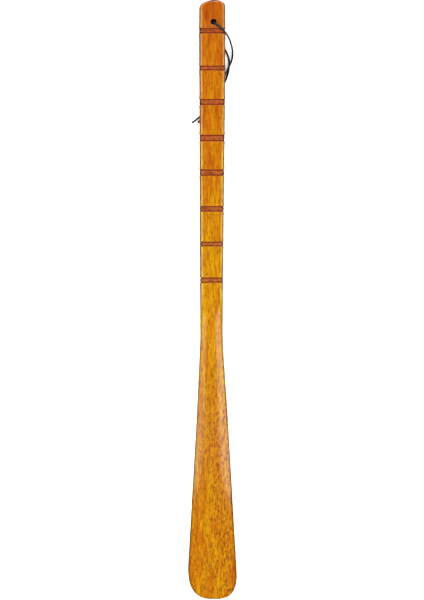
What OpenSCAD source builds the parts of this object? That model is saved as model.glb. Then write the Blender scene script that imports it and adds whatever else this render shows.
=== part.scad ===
// Long shoehorn: one carved wooden body with a ringed handle, and a thin cord loop to hang it by.
// It lies on its back. +Z is up, out of the scooped face, and +Y points to the handle's end.
// The origin is below the middle of the wood, on the surface that it lies on.

/* [Overall] */
// Length from the blade's tip to the handle's end
total_length = 550; // [540:1:600]
// Height of the handle's back above the surface: the handle lies on the cord's knot
handle_lift = 6.5; // [6:0.1:8]

/* [Blade] */
// Greatest width of the blade
blade_width = 44.8; // [40:0.1:48]
// Thickness where the scoop is thinnest
blade_thickness = 3.6; // [3:0.1:5]
// How far the blade's long edges curl up above its middle, where the scoop is deepest
scoop_rise = 4.6; // [3:0.1:6]
// Depth of the groove that starts the scoop below the handle
groove_depth = 1.6; // [0:0.1:2]
// Height of the tip's upward sweep
tip_rise = 3.2; // [1:0.1:5]
// Length over which the blade's end rounds in
tip_length = 32; // [24:1:40]
// Sideways offset of the tip's last point, from carving by hand
tip_offset = 1.8; // [0:0.1:2.5]

/* [Handle] */
// Width of the handle near its end
handle_width = 24.1; // [22:0.1:26]
// Width of the waist, where the handle meets the blade
waist_width = 20.5; // [18:0.1:21]
// Thickness of the handle
handle_thickness = 13.5; // [13:0.1:14]
// Sideways bow of the body at the waist
waist_bow = 0.7; // [0:0.1:1]
// Width of the rounding along the handle's four long edges, across its broad faces
edge_width = 4; // [2.5:0.1:4.5]
// Depth of the same rounding, down its narrow sides
edge_depth = 2.2; // [1.5:0.1:3]

/* [Rings] */
// Depth of the two cuts beside each ring
cut_depth = 0.7; // [0.3:0.1:1.5]
// How far each ring lies below the handle's surface
ring_recess = 0.1; // [0:0.05:0.6]
// How far the wood swells out beside each ring
ring_swell = 0.2; // [0:0.05:0.5]

/* [Hanging hole] */
// Diameter of the hole for the cord
hole_diameter = 5.4; // [5:0.1:6.5]
// Distance of the hole from the handle's end
hole_inset = 20.4; // [18:0.1:22]
// Sideways place of the hole
hole_x = 1.3; // [-1:0.1:2]

/* [Cord] */
// Diameter of the cord
cord_diameter = 1.8; // [1.6:0.1:2]
// Width of the knot, across the two strands
knot_width = 8.6; // [8:0.1:9.5]

/* [Hidden] */

wood_colour = [0.80, 0.50, 0.12];
cord_colour = [0.10, 0.09, 0.09];

// Stations are distances from the tip, along the body.
thin_station = 95;        // the blade is thinnest up to here
belly_station = 75;       // the blade's lowest point, which lies on the surface
widest_station = 24;
flat_station = 60;        // the scoop is flattest up to here
deep_stations = [130, 150]; // the scoop has its full rise between these
neck_station = 256;       // the scoop's first, steep deepening ends
slow_station = 250;       // its second, slower deepening starts
groove_station = 240;     // the groove has its full depth from here up
flare_station = 237;      // the blade starts to widen
waist_station = 245;      // the handle starts to widen
level_station = 250;      // from here on the handle's back is level
scoop_station = 280;      // the scoop starts
full_station = 275;       // the handle has its full thickness
wide_station = 500;       // the handle has its full width
bow_stations = [160, 240, 245, 510]; // the bow grows between the first two and ends at the last
middle_station = total_length / 2;

tip_power = 2.7;          // squareness of the tip's outline
tip_offset_reach = 36;
tip_share = 0.75;         // thickness at the tip, as a share of the blade's
edge_share = 0.6;         // thickness of the blade's edges, as a share of its middle
flat_share = 0.45;        // rise of the scoop at the tip, as a share of its full rise
neck_share = 0.65;        // the part of the rise that the scoop gains in the neck
lip_radius = 1.3;
lip_share = 0.25;
waist_blend = 0.15;
blade_edge_spread = 0.8;  // width of the blade's rounded edges against their depth
edge_stations = [240, 290]; // the wide rounding of the handle's edges fades in between these

// The handle's end: its left shoulder is long and easy, its right one tighter.
crown_x = 3;
left_shoulder = 8;
right_shoulder = 6;
end_radius = 2.2;

// Ring centres as distances from the handle's end, spaced by eye as the carver cut them
ring_places = [28.6, 62.8, 93.9, 126.8, 158.5, 191.7, 223.8, 256.9];
// Distance of each ring's two cuts from its centre
ring_halves = [1.9, 1.7, 2.1, 2.3, 2.3, 2, 1.7, 1.9];
// Depth below the plain surface, against distance from a ring's centre where its cuts are at 1
ring_profile = [[0, ring_recess], [0.64, ring_recess + 0.1], [1, cut_depth],
                [1.42, -ring_swell], [3.7, 0]];

tip_steps = [0, 0.25, 0.9, 2, 4, 7, 11, 16, 22];
blade_steps = [30, 40, 52, 64, 75, 86, 98, 114, 130, 146, 162, 178, 194, 208, 222, 234, 245,
    255, 260, 265, 270, 275, 281];
end_steps = [13, 9, 6.5, 4.4, 2.6, 1.3, 0.5, 0.12, 0];

hole_y = total_length / 2 - hole_inset;
cord_r = cord_diameter / 2;
cord_sides = 8;

// The knot: an upright oval in section, drawn in to a flat face at each end
knot_y = -69.6;           // from the hole's centre
knot_turn = 57;           // its direction, from +X towards +Y
knot_half_length = 5.28;
knot_half_height = (handle_lift - ring_swell) / 2;
knot_face_z = 2.2;
knot_face_share = 0.55;
knot_sides = 16;
knot_direction = [cos(knot_turn), sin(knot_turn), 0];

// Routes of the cord: x from the middle, y from the hole's centre, z above the surface
loop_route = [
    [3.7, -65.7, 2.2], [6.2, -62.1, 1.4], [8.9, -58.4, 1.0], [11.3, -54.7, 0.9],
    [13.3, -50.0, 0.9], [14.8, -45.0, 0.9], [15.6, -40.0, 0.9], [15.6, -35.0, 0.9],
    [14.7, -30.5, 0.9], [12.8, -26.2, 0.9], [10.1, -21.9, 0.9], [7.0, -17.2, 0.9],
    [4.3, -12.0, 0.9], [2.6, -7.5, 0.9], [1.8, -4.0, 0.9], [1.5, -2.0, 1.45],
    [1.3, -0.5, 2.9], [1.3, 0, 5.5], [1.3, 0, 11.5], [1.3, 0, 16.9],
    [1.6, -0.3, 19.3], [2.7, -1.4, 21.0], [4.4, -3.0, 21.6], [7.4, -5.0, 21.4],
    [10.2, -7.6, 21.0], [12.8, -10.7, 19.6], [14.8, -13.7, 16.2], [16.2, -16.5, 12.1],
    [17.3, -19.6, 8.0], [18.3, -23.3, 4.3], [18.9, -27.9, 2.0], [18.5, -32.1, 1.6],
    [17.3, -36.0, 2.3], [15.9, -39.4, 2.85], [14.3, -43.0, 2.5], [12.4, -46.6, 1.4],
    [10.3, -50.6, 0.9], [7.6, -55.4, 1.0], [4.7, -60.2, 1.5], [2.0, -64.6, 2.2]];
tail_long_route = [
    [-3.7, -73.5, 2.2], [-5.5, -76.5, 1.5], [-7.5, -79.8, 1.0], [-9.4, -83.0, 0.9],
    [-11.9, -86.4, 0.9], [-15.3, -89.3, 0.9], [-19.0, -91.9, 0.9]];
tail_short_route = [
    [-2.0, -74.6, 2.2], [-3.7, -77.8, 1.5], [-5.8, -81.2, 1.0], [-8.0, -84.7, 0.9],
    [-10.4, -88.1, 0.9], [-13.2, -92.0, 0.9]];

// ---- Plain functions ----

function unit(v) = v / norm(v);
// An even S-curve, from 0 at a to 1 at b
function ease(v, a, b) = let (t = min(1, max(0, (v - a) / (b - a)))) t * t * (3 - 2 * t);
// The larger of two lengths, with the corner between them softened by k
function soft_max(a, b, k) = (a + b) / 2 + sqrt(pow((a - b) / 2, 2) + k * k);
// A quarter-round, from 0 at the edge to 1 at reach r
function quarter(v, r) = v >= r ? 1 : sqrt(max(0, 1 - pow((r - v) / r, 2)));

// ---- The wood, as functions of the station s ----

function handle_half(s) = waist_width / 2 + (handle_width - waist_width) / 2
    * min(1, max(0, (s - waist_station) / (wide_station - waist_station)));
flare_slope = (1.008 * blade_width - waist_width) / 2 / (flare_station - widest_station);
function blade_half(s) = waist_width / 2 + flare_slope * (flare_station - s);
// Half the outline's width before the tip and the handle's end are rounded
function outline_half(s) = soft_max(handle_half(s), blade_half(s), waist_blend);
function tip_round(s) = s >= tip_length ? 1
    : pow(max(0, 1 - pow((tip_length - s) / tip_length, tip_power)), 1 / tip_power);
function tip_shift(s) = s < tip_offset_reach ? tip_offset * pow(1 - s / tip_offset_reach, 2) : 0;

// Depth of the surface below the plain handle, from the nearest ring
function inset(s) = lookup(min([for (i = [0:len(ring_places) - 1])
    abs(total_length - ring_places[i] - s) / ring_halves[i]]), ring_profile);

function cut_half(s) = outline_half(s) * tip_round(s) - inset(s);
function bow(s) = -waist_bow * ease(s, bow_stations[0], bow_stations[1])
    * (1 - ease(s, bow_stations[2], bow_stations[3]));
function right_x(s) = s < middle_station ? tip_shift(s) + cut_half(s)
    : crown_x + (cut_half(s) - crown_x) * quarter(total_length - s, right_shoulder);
function left_x(s) = s < middle_station ? tip_shift(s) - cut_half(s)
    : crown_x - (cut_half(s) + crown_x) * quarter(total_length - s, left_shoulder);

// Height of the back along the middle, and half the thickness there
function back_z(s) = s < belly_station ? tip_rise * pow(1 - s / belly_station, 2)
    : handle_lift * ease(s, belly_station, level_station);
function groove(s) = groove_depth / 2 * ease(s, deep_stations[1], groove_station)
    * (1 - ease(s, neck_station, scoop_station));
function thin_half(s) = blade_thickness / 2
    * (tip_share + (1 - tip_share) * ease(s, 0, thin_station));
function plain_half(s) = thin_half(s) - groove(s)
    + (handle_thickness / 2 - thin_half(s)) * ease(s, thin_station, full_station);
function lip(s) = lip_share + (1 - lip_share) * quarter(s, lip_radius);
function end_fall(s) = end_radius * (1 - quarter(total_length - s, end_radius));
function half_thickness(s) = (plain_half(s) - inset(s) - end_fall(s)) * lip(s);
// How far the edges stand above the middle, and how thick they are against it
function rise(s) = scoop_rise
    * (flat_share + (1 - flat_share) * ease(s, flat_station, deep_stations[0]))
    * (neck_share * (1 - ease(s, neck_station, scoop_station))
       + (1 - neck_share) * (1 - ease(s, deep_stations[1], slow_station)));
function edge_spread(s) = blade_edge_spread + (edge_width / edge_depth - blade_edge_spread)
    * ease(s, edge_stations[0], edge_stations[1]);
function share(s) = 1 - (1 - edge_share) * (1 - ease(s, thin_station, scoop_station));

// One cross-section as [side, face, turn] marks: four rounded corners and two broad faces.
// side is -1 to 1 across the width, face is 1 on the front and -1 on the back.
up = [0, 30, 60, 90];
down = [90, 60, 30, 0];
across = [0.66, 0.33, 0, -0.33, -0.66];
marks = concat(
    [for (a = up) [1, 1, a]], [for (f = across) [f, 1, 90]], [for (a = down) [-1, 1, a]],
    [for (a = up) [-1, -1, a]], [for (f = across) [-f, -1, 90]], [for (a = down) [1, -1, a]]);

function section(s) =
    let (xc = (right_x(s) + left_x(s)) / 2,
         w = max(0.6, (right_x(s) - left_x(s)) / 2),
         half = half_thickness(s),
         deep = min(edge_depth, 0.85 * half * share(s), 0.8 * w),
         wide = min(w, deep * edge_spread(s)),
         mid = back_z(s) + plain_half(s))
    [for (m = marks)
        let (x = xc + m[0] * (w - wide + wide * cos(m[2])),
             u = pow((x - tip_shift(s)) / outline_half(s), 2),
             reach = half * (1 - (1 - share(s)) * u) - deep + deep * sin(m[2]))
        [x + bow(s), s - middle_station, mid + rise(s) * u + m[1] * reach]];

// ---- Solids from rings of points ----

// A closed skin over rings of equal count, each ring anticlockwise seen from before the first
module skin(rings) {
    n = len(rings[0]);
    last = len(rings) - 1;
    sides = [for (i = [0:last - 1], k = [0:n - 1])
        let (a = i * n + k, b = i * n + (k + 1) % n)
        each [[a, a + n, b + n], [a, b + n, b]]];
    near_cap = [for (k = [0:n - 1]) k];
    far_cap = [for (k = [n - 1:-1:0]) last * n + k];
    polyhedron(points = [for (r = rings) each r], faces = concat(sides, [near_cap, far_cap]));
}

// Directions square to a route, each carried on from the one before without twist
function carried(tangents, i, from) = i == len(tangents) ? []
    : let (v = unit(from - (from * tangents[i]) * tangents[i]))
    concat([v], carried(tangents, i + 1, v));

// The cord along a route, cut square to the direction given at each end
module cord(route, first, final) {
    n = len(route);
    places = [for (p = route) [p[0], p[1] + hole_y, p[2]]];
    tangents = [for (i = [0:n - 1])
        i == 0 ? first : i == n - 1 ? final : unit(places[i + 1] - places[i - 1])];
    sides = carried(tangents, 0, [0, 0, 1]);
    skin([for (i = [0:n - 1])
        let (u = sides[i], v = cross(u, tangents[i]))
        [for (k = [0:cord_sides - 1])
            let (a = 360 * k / cord_sides)
            places[i] + cord_r * (cos(a) * u + sin(a) * v)]]);
}

// ---- The parts ----

module wooden_body() {
    last = len(ring_profile) - 1;
    reaches = concat([for (k = [last:-1:1]) -ring_profile[k][0]], [for (q = ring_profile) q[0]]);
    ring_steps = [for (i = [len(ring_places) - 1:-1:0], d = reaches)
        total_length - ring_places[i] + d * ring_halves[i]];
    stations = concat(tip_steps, blade_steps, ring_steps, [for (e = end_steps) total_length - e]);
    color(wood_colour)
    difference() {
        skin([for (s = stations) section(s)]);
        translate([hole_x, hole_y, 0])
        cylinder(d = hole_diameter, h = 2 * (handle_lift + handle_thickness), $fn = 48);
    }
}

module cord_loop() {
    color(cord_colour) cord(loop_route, knot_direction, -knot_direction);
}

module cord_knot() {
    across_knot = [-sin(knot_turn), cos(knot_turn), 0];
    steps = [-1, -0.85, -0.5, 0, 0.5, 0.85, 1];
    color(cord_colour)
    skin([for (t = steps)
        let (swell = sqrt(1 - (1 - pow(knot_face_share, 2)) * t * t),
             lift = (swell - knot_face_share) / (1 - knot_face_share),
             z = knot_face_z + (knot_half_height - knot_face_z) * lift)
        [for (k = [0:knot_sides - 1])
            let (a = 360 * k / knot_sides)
            [0, hole_y + knot_y, z] + t * knot_half_length * knot_direction
            + knot_width / 2 * swell * cos(a) * across_knot
            - [0, 0, knot_half_height * swell * sin(a)]]]);
}

module cord_tail_long() {
    color(cord_colour)
    cord(tail_long_route, -knot_direction, unit([-3.7, -2.6, 0]));
}

module cord_tail_short() {
    color(cord_colour)
    cord(tail_short_route, -knot_direction, unit([-2.8, -4.0, 0]));
}

wooden_body();
cord_loop();
cord_knot();
cord_tail_long();
cord_tail_short();
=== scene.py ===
"""A long wooden shoehorn with a scooped blade, a ringed handle and a thin cord to hang it by.

It lies on its back on a white floor and is seen from straight above. The wood's lengths are in
millimetres until its mesh is made, and all others are in metres. A station is a distance from
the blade's tip, along the body.
"""

import math

import bpy
import numpy as np
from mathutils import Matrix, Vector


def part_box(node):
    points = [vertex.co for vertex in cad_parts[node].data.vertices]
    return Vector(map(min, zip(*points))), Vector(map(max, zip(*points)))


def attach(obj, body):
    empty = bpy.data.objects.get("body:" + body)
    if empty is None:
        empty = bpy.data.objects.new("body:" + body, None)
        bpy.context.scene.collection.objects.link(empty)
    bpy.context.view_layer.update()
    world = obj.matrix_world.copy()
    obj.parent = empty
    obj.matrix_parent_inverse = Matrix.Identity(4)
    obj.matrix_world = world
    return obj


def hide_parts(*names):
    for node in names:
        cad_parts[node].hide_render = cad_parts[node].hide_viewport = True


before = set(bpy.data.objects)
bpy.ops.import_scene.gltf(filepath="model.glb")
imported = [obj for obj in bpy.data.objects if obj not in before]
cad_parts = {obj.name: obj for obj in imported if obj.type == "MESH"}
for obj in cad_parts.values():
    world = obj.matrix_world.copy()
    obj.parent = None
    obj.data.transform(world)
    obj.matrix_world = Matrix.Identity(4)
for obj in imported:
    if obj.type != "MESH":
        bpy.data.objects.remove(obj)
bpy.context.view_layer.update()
wood_low, wood_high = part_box("wooden_body")
knot_low, knot_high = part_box("cord_knot")

MM = 0.001

# ---- Sizes of the wood, in millimetres ----

TOTAL_LENGTH = (wood_high.y - wood_low.y) / MM
MIDDLE = TOTAL_LENGTH / 2
HANDLE_LIFT = 6.5

BLADE_WIDTH = 44.8
BLADE_THICKNESS = 3.6
SCOOP_RISE = 4.6
GROOVE_DEPTH = 1.6
TIP_RISE = 3.2
TIP_LENGTH = 32
TIP_OFFSET = 1.8
TIP_OFFSET_REACH = 36
LIP_RADIUS = 1.3

HANDLE_WIDTH = 24.1
WAIST_WIDTH = 20.5
WAIST_BLEND = 0.15
WAIST_BOW = 0.7
HANDLE_THICKNESS = 13.5
EDGE_WIDTH = 4.0
EDGE_DEPTH = 2.2

# The handle's end: its left shoulder is long and easy, its right one tighter.
END_LENGTH = 13
END_RADIUS = 2.2
CROWN_X = 3
LEFT_SHOULDER = 8
RIGHT_SHOULDER = 6

HOLE_DIAMETER = 5.4
HOLE_RIM = 0.35
HOLE_X = 1.3
HOLE_INSET = 20.4
HOLE_Y = MIDDLE - HOLE_INSET
CUTTER_SIDES = 64
CUTTER_OVERSHOOT = 3

# Ring centres from the handle's end, and each ring's cuts from its centre.
RING_PLACES = (28.6, 62.8, 93.9, 126.8, 158.5, 191.7, 223.8, 256.9)
RING_HALVES = (1.9, 1.7, 2.1, 2.3, 2.3, 2.0, 1.7, 1.9)
CUT_DEPTH = 0.65
RING_RECESS = 0.1
RING_CROWN = 0.1
RING_SWELL = 0.2

# Where the crown, the bead's side and the swollen wood are, with a ring's own cuts at 1.
CROWN_REACH = 0.8
BEAD_SIDE = (0.9, 1.26)
SWELL_REACH = (1.42, 3.7)
CUT_SPREAD = 0.24

# ---- Stations where the wood changes, in millimetres from the tip ----

WIDEST_STATION = 24  # the blade's tapers are at their widest
FLAT_STATION = 60  # the scoop is flattest up to here
BELLY_STATION = 75  # the blade's lowest point, which lies on the floor
THIN_STATION = 95  # the blade is thinnest up to here
DEEP_STATIONS = (130, 150)  # the scoop has its full rise between these
BOW_STATIONS = (160, 240, 245, 510)  # the bow grows between the first two, ends at the last
FLARE_STATION = 237  # the blade starts to widen
GROOVE_STATION = 240  # the groove has its full depth from here up
EDGE_STATIONS = (240, 290)  # the handle's wide rounding fades in between these
WAIST_STATION = 245  # the handle starts to widen
LEVEL_STATION = 250  # from here on the handle's back is level
SLOW_STATION = 250  # the scoop's second, slower deepening starts
NECK_STATION = 256  # the scoop's first, steep deepening ends
FULL_STATION = 275  # the handle has its full thickness
SCOOP_STATION = 280  # the scoop starts
WIDE_STATION = 500  # the handle has its full width

# ---- Shares and powers ----

WIDTH_BEFORE_ROUNDING = 1.008  # the taper at its widest, against the blade's finished width
TIP_POWER = 2.7  # squareness of the tip's outline
TIP_SHARE = 0.75  # thickness at the tip, as a share of the blade's
LIP_SHARE = 0.25  # thickness left at the tip's very edge
EDGE_SHARE = 0.6  # thickness of the blade's edges, as a share of its middle
FLAT_SHARE = 0.45  # rise of the scoop at the tip, as a share of its full rise
NECK_SHARE = 0.65  # the part of the rise that the scoop gains in the neck
BLADE_EDGE_SPREAD = 0.8  # width of the blade's rounded edges against their depth

# ---- How close together the wood's points are ----

CORNER_POINTS = 10
FACE_POINTS = 24
STATION_SPACING = 2.2
LEAST_HALF_WIDTH = 0.6

# ---- Where the wood's finish, its painted shade and its painted sheen change: each pair is where an S-curve starts and stops ----

FLECK_STATIONS = (150, 290)  # flecks thin out up the blade between these
FLECK_SIDES = (-13, 6)  # and grow from left to right between these
# RIM_REACH and LEFT_RIM_EXTRA shape a band of painted shade along the outline.
RIM_REACH = (0.3, 1.6)  # the dark outline fades between these distances from the edge
LEFT_RIM_EXTRA = 0.45  # and lies this much further in on the handle's left
STAIN_REACH = (1.3, 1.8)  # a bead's dull stain ends between these, with its cuts at 1
# HOLE_SHADE sets painted shade on the hole's wall and rim.
HOLE_SHADE = (0.02, 0.25)  # the hole's dark fades between these distances from its wall
# LEAN_OUT, LEAN_IN and UPRIGHT set where a paler sheen is painted into the wood's colour.
LEAN_OUT = (0.08, 0.3)  # the surface leans outwards, as a share of upright
LEAN_IN = (0.1, 0.34)  # and inwards
UPRIGHT = (0.88, 0.98)

# ---- Sizes of the cord, in metres ----

CORD_DIAMETER = 0.0018
PLIES = 3
PLY_PITCH = 0.0042
PLY_GROOVE = 0.13  # how far the radius draws in between two plies, as a share of it
CUT_END_ROUND = 0.0004
POINT_SPACING = 0.0003

KNOT_TURN = math.radians(57)
KNOT_HALF_LENGTH = 0.00528
KNOT_HALF_WIDTH = 0.0023
KNOT_HEIGHT = 0.0031
KNOT_REACH = 2.15  # the curve's parameter at the knot's two faces

# The cord's routes in metres: x from the middle, y from the hole's centre, z above the floor.
LOOP_ROUTE = (
    (0.0037, -0.0657, 0.0022), (0.0062, -0.0621, 0.0014), (0.0089, -0.0584, 0.0010),
    (0.0113, -0.0547, 0.0009), (0.0133, -0.0500, 0.0009), (0.0148, -0.0450, 0.0009),
    (0.0156, -0.0400, 0.0009), (0.0156, -0.0350, 0.0009), (0.0147, -0.0305, 0.0009),
    (0.0128, -0.0262, 0.0009), (0.0101, -0.0219, 0.0009), (0.0070, -0.0172, 0.0009),
    (0.0043, -0.0120, 0.0009), (0.0026, -0.0075, 0.0009), (0.0018, -0.0040, 0.0009),
    (0.0015, -0.0020, 0.00145), (0.0013, -0.0005, 0.0029), (0.0013, 0.0, 0.0055),
    (0.0013, 0.0, 0.0115), (0.0013, 0.0, 0.0169), (0.0016, -0.0003, 0.0193),
    (0.0027, -0.0014, 0.0210), (0.0044, -0.0030, 0.0216), (0.0074, -0.0050, 0.0214),
    (0.0102, -0.0076, 0.0210), (0.0128, -0.0107, 0.0196), (0.0148, -0.0137, 0.0162),
    (0.0162, -0.0165, 0.0121), (0.0173, -0.0196, 0.0080), (0.0183, -0.0233, 0.0043),
    (0.0189, -0.0279, 0.0020), (0.0185, -0.0321, 0.0016), (0.0173, -0.0360, 0.0023),
    (0.0159, -0.0394, 0.00285), (0.0143, -0.0430, 0.0025), (0.0124, -0.0466, 0.0014),
    (0.0103, -0.0506, 0.0009), (0.0076, -0.0554, 0.0010), (0.0047, -0.0602, 0.0015),
    (0.0020, -0.0646, 0.0022),
)
TAIL_LONG_ROUTE = (
    (-0.0037, -0.0735, 0.0022), (-0.0055, -0.0765, 0.0015), (-0.0075, -0.0798, 0.0010),
    (-0.0094, -0.0830, 0.0009), (-0.0119, -0.0864, 0.0009), (-0.0153, -0.0893, 0.0009),
    (-0.0190, -0.0919, 0.0009),
)
TAIL_SHORT_ROUTE = (
    (-0.0020, -0.0746, 0.0022), (-0.0037, -0.0778, 0.0015), (-0.0058, -0.0812, 0.0010),
    (-0.0080, -0.0847, 0.0009), (-0.0104, -0.0881, 0.0009), (-0.0132, -0.0920, 0.0009),
)


# ---- Camera ----

CAMERA_PLACE = (-0.0002, -0.0001, 3.834)
FOCAL_LENGTH = 250


def add_camera():
    """A long lens far above the middle of the object, looking straight down with +Y up."""
    lens = bpy.data.cameras.new("camera")
    lens.lens = FOCAL_LENGTH
    lens.sensor_width = 36
    lens.clip_end = 200
    camera = bpy.data.objects.new("camera", lens)
    camera.location = CAMERA_PLACE
    bpy.context.scene.collection.objects.link(camera)
    bpy.context.scene.camera = camera


# ---- Helpers for surfaces ----


def ease(value, start, stop):
    """An even S-curve from 0 at start to 1 at stop: 3 t squared less 2 t cubed."""
    t = np.clip((value - start) / (stop - start), 0, 1)
    return t * t * (3 - 2 * t)


def quarter(value, reach):
    """A quarter-round from 0 at the edge to 1 at reach: the root of 1 less (1 - v/r) squared."""
    t = np.clip((reach - value) / reach, 0, 1)
    return np.sqrt(1 - t * t)


def grid_faces(rows, around):
    """Quads of a grid of rows by around points, closed around, row by row."""
    row = np.arange(rows - 1)[:, None] * around
    here = np.arange(around)[None, :]
    after = (here + 1) % around
    quads = np.stack([row + here, row + around + here, row + around + after, row + after], -1)
    return quads.reshape(-1, 4)


def make_piece(name, points, faces, smooth=True):
    """A mesh object at the origin from points in metres and a list of faces."""
    mesh = bpy.data.meshes.new(name)
    mesh.from_pydata(points.tolist(), [], faces)
    mesh.polygons.foreach_set("use_smooth", np.full(len(mesh.polygons), smooth))
    mesh.update()
    piece = bpy.data.objects.new(name, mesh)
    bpy.context.scene.collection.objects.link(piece)
    return piece


# ---- The cord ----


def smooth_route(points):
    """Points evenly spaced along a Catmull-Rom curve through a route's own points.

    Each slope is half of the way from the point before to the point after, and each stretch
    is the cubic that has those slopes at its two ends.
    """
    points = np.asarray(points, float)
    before = np.vstack([2 * points[0] - points[1], points[:-1]])
    after = np.vstack([points[1:], 2 * points[-1] - points[-2]])
    slopes = (after - before) / 2
    t = np.linspace(0, 1, 25)[:-1][None, :, None]
    a, b = points[:-1, None], points[1:, None]
    m, n = slopes[:-1, None], slopes[1:, None]
    curve = (
        (2 * t**3 - 3 * t**2 + 1) * a
        + (t**3 - 2 * t**2 + t) * m
        + (3 * t**2 - 2 * t**3) * b
        + (t**3 - t**2) * n
    ).reshape(-1, 3)
    curve = np.vstack([curve, points[-1]])
    far = np.concatenate([[0], np.cumsum(np.linalg.norm(np.diff(curve, axis=0), axis=1))])
    even = np.linspace(0, far[-1], max(8, int(round(far[-1] / POINT_SPACING))))
    return np.stack([np.interp(even, far, curve[:, k]) for k in range(3)], -1)


def carried_sides(route):
    """Two directions square to a route at each of its points, carried on without twist."""
    tangents = np.gradient(route, axis=0)
    tangents /= np.linalg.norm(tangents, axis=1, keepdims=True)
    side = np.cross(tangents[0], (0.0, 0.0, 1.0))
    sides = []
    for tangent in tangents:
        side = side - side.dot(tangent) * tangent
        side = side / np.linalg.norm(side)
        sides.append(side)
    sides = np.array(sides)
    return sides, np.cross(tangents, sides)


def twisted_tube(route, around=18):
    """Points, faces and UV of a twisted cord along a route.

    Its radius is that of a round cord, drawn in where two plies meet: one less the groove's
    share of (1 - |cos|) of half the ply count times the angle, which turns once in each ply
    pitch. The last rings narrow in a quarter-round, so that a cut end is rounded.
    """
    sides, ups = carried_sides(route)
    far = np.concatenate([[0], np.cumsum(np.linalg.norm(np.diff(route, axis=0), axis=1))])
    turn = np.arange(around) / around * 2 * np.pi
    wave = PLIES / 2 * (turn[None, :] - far[:, None] / PLY_PITCH * 2 * np.pi)
    radius = CORD_DIAMETER / 2 * (1 - PLY_GROOVE * (1 - np.abs(np.cos(wave))))
    ends = quarter(np.minimum(far, far[-1] - far), CUT_END_ROUND)
    radius = radius * np.maximum(ends, 0.04)[:, None]
    points = (
        route[:, None]
        + radius[..., None] * np.cos(turn)[None, :, None] * sides[:, None]
        + radius[..., None] * np.sin(turn)[None, :, None] * ups[:, None]
    ).reshape(-1, 3)
    faces = grid_faces(len(route), around)[:, ::-1].tolist()
    faces.append(list(range(around)))
    faces.append(list(range(len(points) - 1, len(points) - 1 - around, -1)))
    along = np.repeat(far / CORD_DIAMETER, around)
    round_it = np.tile(turn / (2 * np.pi), len(route))
    return points, faces, np.stack([round_it, along], -1)


def cord_piece(name, routes):
    """One object of one or more twisted tubes, with its UV map."""
    points, faces, places = [], [], []
    count = 0
    for route in routes:
        tube, tube_faces, tube_places = twisted_tube(route)
        faces += [[v + count for v in face] for face in tube_faces]
        points.append(tube)
        places.append(tube_places)
        count += len(tube)
    piece = make_piece(name, np.vstack(points), faces)
    mesh = piece.data
    corner = np.zeros(len(mesh.loops), np.int32)
    mesh.loops.foreach_get("vertex_index", corner)
    layer = mesh.uv_layers.new(name="along_cord")
    layer.data.foreach_set("uv", np.vstack(places)[corner].astype(np.float32).ravel())
    return piece


def placed(route):
    """A route of the part, whose y counts from the hole, moved into place."""
    return np.asarray(route, float) + (0.0, HOLE_Y * MM, 0.0)


def knot_strands():
    """The routes of the two strands through the knot, side by side.

    Each is an overhand knot: along it goes t cubed less 3t, across it t to the fourth less
    4 t squared, and up and down in turns at the crossings. The ends are drawn together to
    leave the knot's faces a cord apart.
    """
    t = np.linspace(-KNOT_REACH, KNOT_REACH, 90)
    marks = (-KNOT_REACH, -1.932, -1.732, -1.1, -0.518, 0, 0.518, 1.1, 1.732, 1.932, KNOT_REACH)
    levels = (-0.9, -1.1, 1.1, 0.2, -1.25, 0, 1.25, -0.2, -1.1, 1.1, -0.9)
    lift = np.interp(t, marks, levels) * MM
    lift = np.convolve(np.pad(lift, 3, mode="edge"), np.ones(7) / 7, mode="valid")
    end = ease(np.abs(t), 1.75, KNOT_REACH)
    along = (t**3 - 3 * t) / (KNOT_REACH**3 - 3 * KNOT_REACH) * KNOT_HALF_LENGTH
    across = (t**4 - 4 * t * t + 0.8) / 3.4 * KNOT_HALF_WIDTH * (1 - end)
    path = np.stack([along, across, lift], -1)
    slope = np.gradient(path[:, :2], axis=0)
    slope /= np.linalg.norm(slope, axis=1, keepdims=True)
    outwards = np.stack([slope[:, 1], -slope[:, 0], np.zeros(len(t))], -1)
    cos, sin = math.cos(KNOT_TURN), math.sin(KNOT_TURN)
    middle = ((knot_low.x + knot_high.x) / 2, (knot_low.y + knot_high.y) / 2, KNOT_HEIGHT)
    strands = []
    for shift in (-CORD_DIAMETER / 2, CORD_DIAMETER / 2):
        local = path + shift * outwards
        x = local[:, 0] * cos - local[:, 1] * sin
        y = local[:, 0] * sin + local[:, 1] * cos
        strands.append(np.stack([x, y, local[:, 2]], -1) + middle)
    return strands


def add_cord(material):
    """The loop, its knot and the two cut tails, each a twisted tube that stands in for its part."""
    loop_path = smooth_route(placed(LOOP_ROUTE))
    loop = cord_piece("cord_loop_twisted", [loop_path])
    knot = cord_piece("cord_knot_tied", [smooth_route(strand) for strand in knot_strands()])
    tail_long = cord_piece("cord_tail_long_twisted", [smooth_route(placed(TAIL_LONG_ROUTE))])
    tail_short = cord_piece("cord_tail_short_twisted", [smooth_route(placed(TAIL_SHORT_ROUTE))])
    stands_for = {
        "cord_loop": loop,
        "cord_knot": knot,
        "cord_tail_long": tail_long,
        "cord_tail_short": tail_short,
    }
    for node, piece in stands_for.items():
        piece.data.materials.append(material)
        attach(piece, "root")
        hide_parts(node)


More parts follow.
